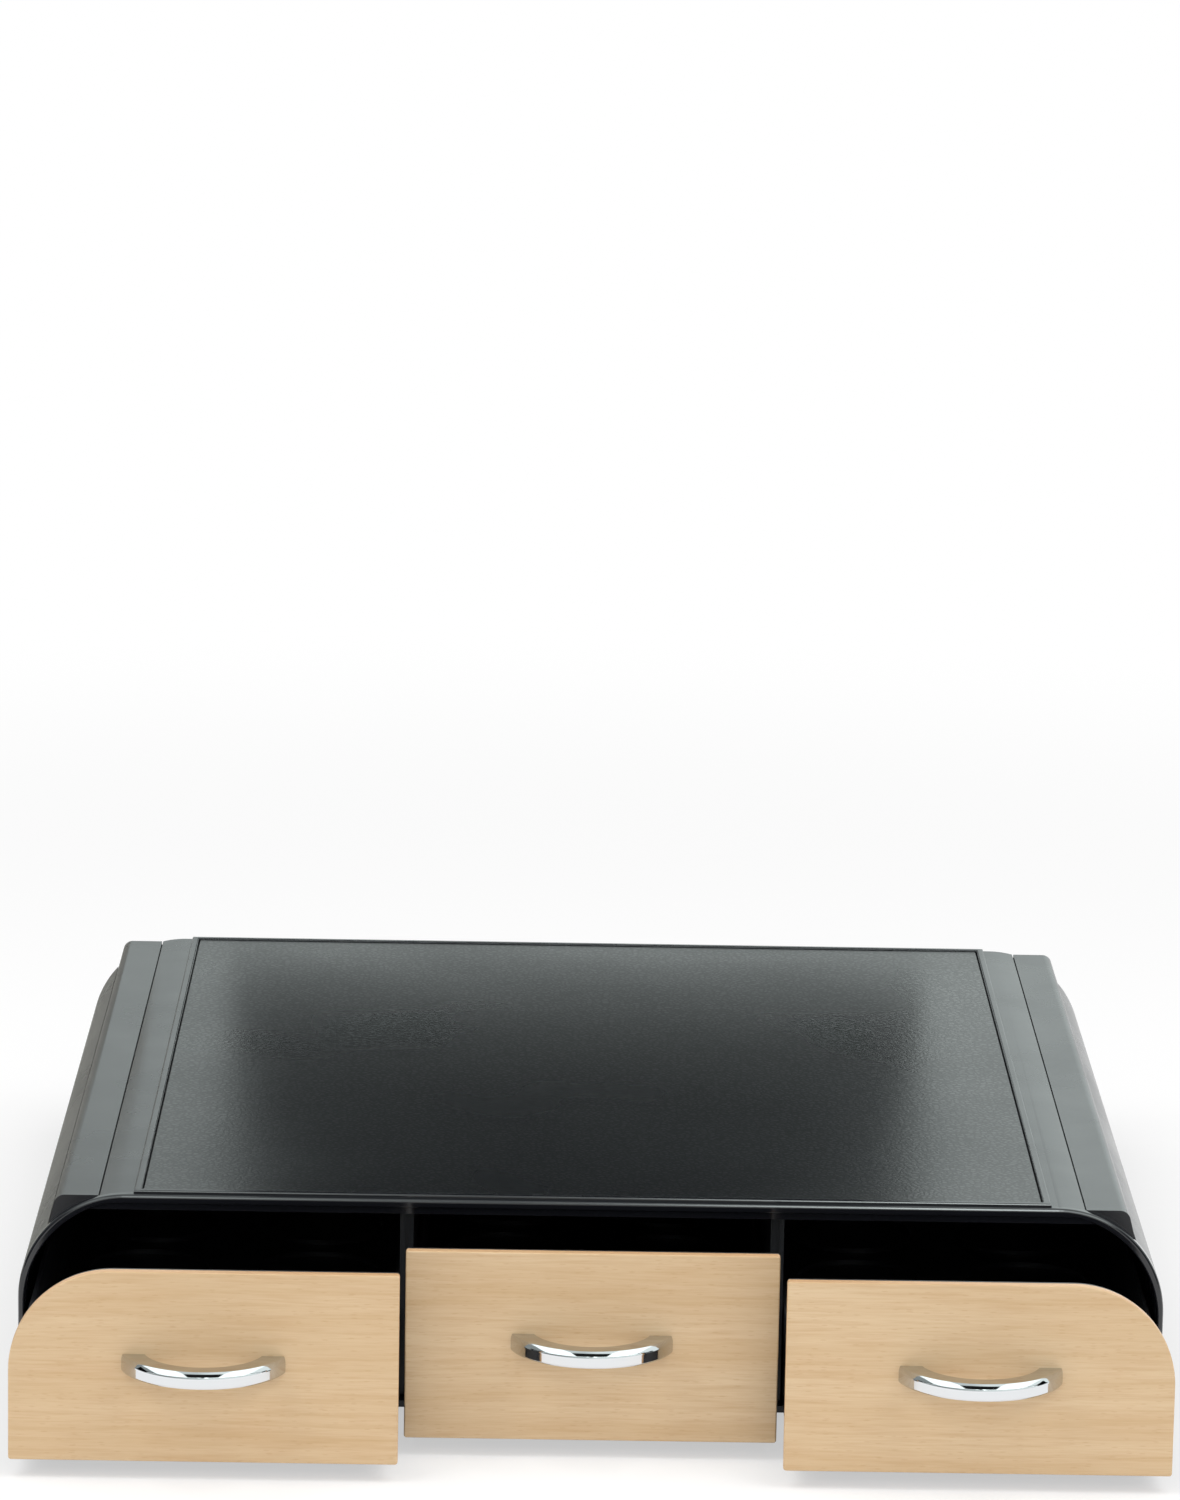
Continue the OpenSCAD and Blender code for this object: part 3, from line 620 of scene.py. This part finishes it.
def turned_screw(name, rings, edge):
    """Mesh of a screw with its head up at the origin, from the radius and height of each ring."""
    bm = bmesh.new()
    chain = [bm.verts.new((r, 0, z)) for r, z in rings]
    sides = [bm.edges.new(pair) for pair in zip(chain, chain[1:])]
    bmesh.ops.spin(bm, geom=chain + sides, cent=(0, 0, 0), axis=(0, 0, 1), angle=2 * math.pi,
                   steps=32, use_merge=True)
    bmesh.ops.holes_fill(bm, edges=[e for e in bm.edges if e.is_boundary], sides=0)
    bmesh.ops.recalc_face_normals(bm, faces=bm.faces)
    top_z = rings[0][1]
    ease(bm, [e for e in bm.edges if along(e, z=top_z)], edge, 4)
    for axis in "xy":
        head = [f for f in bm.faces if all(same(v.co.z, top_z) for v in f.verts)]
        cut(bm, head, axis, (-cross_reach, -cross_w / 2, cross_w / 2, cross_reach))
    head = [f for f in bm.faces if all(same(v.co.z, top_z) for v in f.verts)]
    middles = {f: sorted(abs(c) for c in f.calc_center_bounds().xy) for f in head}
    cross = [f for f in head if middles[f][0] < cross_w / 2 and middles[f][1] < cross_reach]
    floor = move_patch(bm, cross, -cross_depth)
    bmesh.ops.scale(bm, verts=floor, vec=(cross_taper, cross_taper, 1))
    made = bpy.data.meshes.new(name)
    bm.to_mesh(made)
    bm.free()
    return made


def put_screws(node, screw, places, body):
    """Piece with a copy of a screw in each place."""
    bm = bmesh.new()
    for place in places:
        there = set(bm.verts)
        bm.from_mesh(screw)
        bmesh.ops.transform(bm, matrix=place, verts=[v for v in bm.verts if v not in there])
    finish(node + "_piece", bm, zinc, body, "screw_steel", node)


head_r, core_r, point_r = 2.4, 1.25, 0.3
head_under, core_end, point_z, head_edge = -1.2, -6.5, -8, 0.15
countersunk = turned_screw("countersunk screw", (
    (head_r, 0), (core_r, head_under), (core_r, core_end), (point_r, point_z)), head_edge)
divider_x, screw_y, base_z, rear_face = 55, 111.2, 3, 163.2
head_down, head_back = Matrix.Rotation(math.pi, 4, "X"), Matrix.Rotation(-math.pi / 2, 4, "X")
deck_places, base_places, rear_places = [], [], []
# Three screws above and below each divider and two behind it, each driven to an angle of its own
for side in (-1, 1):
    for row in (-1, 0, 1):
        twist = Matrix.Rotation(1.3 * row + side, 4, "Z")
        on_deck = Matrix.Translation((side * divider_x, row * screw_y, deck_z - pocket))
        on_base = Matrix.Translation((side * divider_x, row * screw_y, base_z))
        deck_places.append(on_deck @ twist)
        base_places.append(on_base @ head_down @ twist)
    for share in (0.25, 0.75):
        z = base_top + share * (deck_under - base_top)
        twist = Matrix.Rotation(2.2 * share + side, 4, "Z")
        on_rear = Matrix.Translation((side * divider_x, rear_face, z))
        rear_places.append(on_rear @ head_back @ twist)
put_screws("deck_screws", countersunk, deck_places, "housing")
put_screws("base_screws", countersunk, base_places, "housing")
put_screws("rear_screws", countersunk, rear_places, "housing")


# ---- Trays ----
# Drawer trays moulded in black polypropylene: floor with ring seats for the pods, low side walls,
# a full front wall behind the wood and a high rear wall with the stop tabs. The plastic is a
# little greyer and softer in its gloss than the housing.
tray_black = moulded("polypropylene, moulded black", "#26272a", 0.38, 0.5, 0.012)
for name in ("left", "middle", "right"):
    eased_copy(name + "_tray", tray_black, name + "_drawer", "tray_black", 0.25)


# ---- Wooden fronts ----
# 3 mm boards faced with straight-grained beech veneer under satin lacquer, and edged with a
# slightly warmer tape. The outer two have one corner rounded to follow the arch.
def beech(name, light, middle, dark):
    """Beech cut along the grain. Soft bands, long lines and fibres give the eye an even, pale
    board, and short brown ray flecks tell it from other woods. The fibres are drawn 0.5 mm wide,
    because real ones are too fine to show."""
    made, tree = new_material(name)
    place = add(tree, "TexCoord")
    sway_mm, sway_height_mm, fleck_mm = 120, 3, (4.0, 1.2, 0.7)
    sway = add(tree, "TexNoise", {"Scale": 1000 / sway_mm, "Detail": 1},
               Vector=place.outputs["Object"])
    swayed = add(tree, "VectorMath",
                 {"operation": "MULTIPLY_ADD", 1: (0, 0, sway_height_mm * MM)},
                 _0=sway.outputs["Color"], _2=place.outputs["Object"])

    def figure(length_mm, height_mm, detail):
        """Noise stretched along the board."""
        scale = 1000 / length_mm, 1000 / height_mm, 1000 / height_mm
        stretch = add(tree, "Mapping", {"Scale": scale}, Vector=swayed.outputs[0])
        return add(tree, "TexNoise", {"Scale": 1.0, "Detail": detail, "Roughness": 0.6},
                   Vector=stretch.outputs[0])

    bands, streaks, fibres = figure(160, 9, 2), figure(32, 1.5, 4), figure(12, 0.5, 2)
    rays = add(tree, "Mapping", {"Scale": [1000 / size for size in fleck_mm]},
               Vector=swayed.outputs[0])
    cells = add(tree, "TexVoronoi", {"Scale": 1.0}, Vector=rays.outputs[0])
    fleck = add(tree, "MapRange", {"interpolation_type": "SMOOTHSTEP", 1: 0.12, 2: 0.34,
                                   3: 1.0, 4: 0.0}, _0=cells.outputs["Distance"])
    chance = add(tree, "SeparateColor", (), Color=cells.outputs["Color"])
    some = add(tree, "Math", {"operation": "GREATER_THAN", 1: 0.55}, _0=chance.outputs[0])
    marks = add(tree, "Math", {"operation": "MULTIPLY"}, _0=fleck.outputs[0], _1=some.outputs[0])

    wide = add(tree, "MapRange", {1: 0.3, 2: 0.7}, _0=bands.outputs["Fac"])
    base = add(tree, "Mix", {"data_type": "RGBA", 6: colour(middle), 7: colour(light)},
               _0=wide.outputs[0])
    lines = add(tree, "MapRange", {1: 0.45, 2: 0.75, 3: 0.0, 4: 0.47}, _0=streaks.outputs["Fac"])
    lined = add(tree, "Mix", {"data_type": "RGBA", 7: colour(dark)}, _0=lines.outputs[0],
                _6=base.outputs[2])
    threads = add(tree, "MapRange", {1: 0.45, 2: 0.8, 3: 0.0, 4: 0.4}, _0=fibres.outputs["Fac"])
    threaded = add(tree, "Mix", {"data_type": "RGBA", 7: colour(dark)}, _0=threads.outputs[0],
                   _6=lined.outputs[2])
    faint = add(tree, "Math", {"operation": "MULTIPLY", 1: 0.28}, _0=marks.outputs[0])
    tone = add(tree, "Mix", {"data_type": "RGBA", 7: colour("#b98c5e")}, _0=faint.outputs[0],
               _6=threaded.outputs[2])
    gloss = add(tree, "MapRange", {1: 0.3, 2: 0.7, 3: 0.36, 4: 0.46}, _0=streaks.outputs["Fac"])
    bump = add(tree, "Bump", {"Strength": 0.25, "Distance": 0.02 * MM, "invert": True},
               Height=fibres.outputs["Fac"])
    skin = add(tree, "BsdfPrincipled", {"IOR": 1.5, "Coat Weight": 0.2, "Coat Roughness": 0.25},
               Base_Color=tone.outputs[2], Roughness=gloss.outputs[0], Normal=bump.outputs[0])
    add(tree, "OutputMaterial", (), Surface=skin.outputs[0])
    return made


veneer = beech("beech veneer, lacquered", "#dcc19b", "#d1b288", "#c09769")
edging = beech("beech edging", "#dfba8e", "#d4a87b", "#b98a5c")
front_t, front_z, front_r = 3, (5.4, 62.0), 29.8
corner_round, face_round, back_round = 0.8, 0.45, 0.2
side_open, middle_open = 63.5, 37.5
front_at = {"left": front_y - side_open, "middle": front_y - middle_open,
            "right": front_y - side_open}
front_x = {"left": (-167.8, -55.6), "middle": (-54.4, 54.4), "right": (55.6, 167.8)}
for name, (x0, x1) in front_x.items():
    bm = bmesh.new()
    y = front_at[name]
    z0, z1 = front_z
    corners = [bm.verts.new((x, y, z)) for x, z in ((x0, z0), (x1, z0), (x1, z1), (x0, z1))]
    bm.faces.new(corners)
    if name != "middle":
        round_corners(bm, [corners[2] if name == "right" else corners[3]], front_r, 32)
    grow(bm, bm.faces[:], front_t, keep=True)
    bmesh.ops.recalc_face_normals(bm, faces=bm.faces)
    ease(bm, [e for e in sharp(bm, 60) if not same(*(v.co.y for v in e.verts))], corner_round, 4)
    ease(bm, [e for e in bm.edges if along(e, y=y)], face_round)
    ease(bm, [e for e in bm.edges if along(e, y=y + front_t)], back_round, 2)
    board = finish(name + "_front_piece", bm, veneer, name + "_drawer", "beech_wood",
                   name + "_front")
    # Veneer in front and behind, edging on the sides
    board.data.materials.append(edging)
    for face in board.data.polygons:
        face.material_index = int(abs(face.normal.y) < 0.6)


# ---- Handles ----
# Bow handles, cast in zinc alloy and chrome-plated: a crescent with chamfered outer edges whose
# flat ends stand on the wood.
def chrome_plate():
    """Bright mirror that shows the wood above and the studio in front. A faint ripple from
    polishing and a touch of haze soften what it mirrors."""
    ripple_mm, haze_mm = 9, 2.5
    made, tree = new_material("chrome plating")
    place = add(tree, "TexCoord")
    ripple = add(tree, "TexNoise", {"Scale": 1000 / ripple_mm, "Detail": 1},
                 Vector=place.outputs["Object"])
    haze = add(tree, "TexNoise", {"Scale": 1000 / haze_mm, "Detail": 4},
               Vector=place.outputs["Object"])
    gloss = add(tree, "MapRange", {1: 0.35, 2: 0.75, 3: 0.03, 4: 0.07}, _0=haze.outputs["Fac"])
    bump = add(tree, "Bump", {"Strength": 0.1, "Distance": 0.02 * MM}, Height=ripple.outputs["Fac"])
    skin = add(tree, "BsdfPrincipled", {"Metallic": 1.0, "Base Color": colour("#c8cacc")},
               Roughness=gloss.outputs[0], Normal=bump.outputs[0])
    add(tree, "OutputMaterial", (), Surface=skin.outputs[0])
    return made


chrome = chrome_plate()
handle_w, handle_out, handle_h, handle_z = 47.2, 18.2, 4.9, 35.1
grip_w, grip_d, into_wood = 33.6, 12.2, 3
# The upper chamfer is steep up to turn_z above its foot, lies turn_back further back there, and is
# flatter above.
top_edge, low_edge, turn_z, turn_back = 1.5, 0.5, 1.05, 0.85
crease_round, handle_round = 0.35, 0.15
middle_x = {"left": -side_drawer_x, "middle": 0, "right": side_drawer_x}


def arc_radius(chord, rise):
    """Radius of an arc from its chord and its height above it."""
    return (chord ** 2 / 4 + rise ** 2) / (2 * rise)


def bow(bm, x, chord, rise, face_y):
    """Arc of edges in plan over a chord on the wood, run on a little way into the wood."""
    radius = arc_radius(chord, rise)
    centre = Vector((x, face_y + radius - rise, 0))
    reach = math.acos((radius - rise - into_wood) / radius)
    there = set(bm.verts)
    first = bm.verts.new(centre - radius * Vector((math.sin(reach), math.cos(reach), 0)))
    bmesh.ops.spin(bm, geom=[first], cent=centre, axis=(0, 0, 1), angle=2 * reach, steps=80)
    return sorted(set(bm.verts) - there, key=lambda v: v.co.x)


low_z, top_z = handle_z - handle_h / 2, handle_z + handle_h / 2
chamfer_z = top_z - top_edge
radius = arc_radius(handle_w, handle_out)
for name, x in middle_x.items():
    face_y = front_at[name]
    bm = bmesh.new()
    outer = bow(bm, x, handle_w, handle_out, face_y)
    bm.faces.new(outer + bow(bm, x, grip_w, grip_d, face_y)[::-1])
    bmesh.ops.translate(bm, verts=bm.verts, vec=(0, 0, low_z))
    made = bmesh.ops.extrude_face_region(bm, geom=bm.faces[:])["geom"]
    raised = [v for v in made if isinstance(v, bmesh.types.BMVert)]
    bmesh.ops.translate(bm, verts=raised, vec=(0, 0, handle_h))
    cut(bm, bm.faces[:], "z", (low_z + low_edge, chamfer_z, chamfer_z + turn_z))

    # The chamfers: the outer face is set back at its top, at the turn and at its bottom
    centre = Vector((x, face_y + radius - handle_out))
    outside = [v for v in bm.verts if (v.co.xy - centre).length > radius - 0.05]
    rim = {v for v in outside if same(v.co.z, chamfer_z)}
    crease = {e for v in rim for e in v.link_edges if e.is_manifold and rim.issuperset(e.verts)}
    for v in outside:
        v.co.y += (top_edge * same(v.co.z, top_z) + turn_back * same(v.co.z, chamfer_z + turn_z)
                   + low_edge * same(v.co.z, low_z))
    bm.normal_update()
    ease(bm, crease, crease_round, 4)

    # Cut off at the wood
    bmesh.ops.bisect_plane(bm, geom=bm.verts[:] + bm.edges[:] + bm.faces[:], dist=1e-5,
                           plane_co=(0, face_y, 0), plane_no=(0, 1, 0), clear_outer=True)
    bmesh.ops.holes_fill(bm, edges=[e for e in bm.edges if e.is_boundary], sides=0)
    bmesh.ops.recalc_face_normals(bm, faces=bm.faces)
    bm.normal_update()
    ease(bm, [e for e in sharp(bm, 20) if not along(e, y=face_y)], handle_round)
    finish(name + "_handle_piece", bm, chrome, name + "_drawer", "handle_chrome",
           name + "_handle")


# ---- Handle screws ----
# Zinc-plated pan-head screws, driven from inside each tray through its front wall and the
# wood into the handle's ends.
bolt_from_middle, bolt_l, tray_front_t = 20.2, 8.9, 2.2
pan_r, pan_h, pan_round, bolt_r = 2.8, 2, 0.9, 1.5
pan_head = turned_screw("pan-head screw", (
    (pan_r, pan_h), (pan_r, 0), (bolt_r, 0), (bolt_r, -bolt_l)), pan_round)
for name, x in middle_x.items():
    wall_y = front_at[name] + front_t + tray_front_t
    places = [Matrix.Translation((x + side * bolt_from_middle, wall_y, handle_z)) @ head_back
              @ Matrix.Rotation(0.4 + side, 4, "Z") for side in (-1, 1)]
    put_screws(name + "_handle_screws", pan_head, places, name + "_drawer")
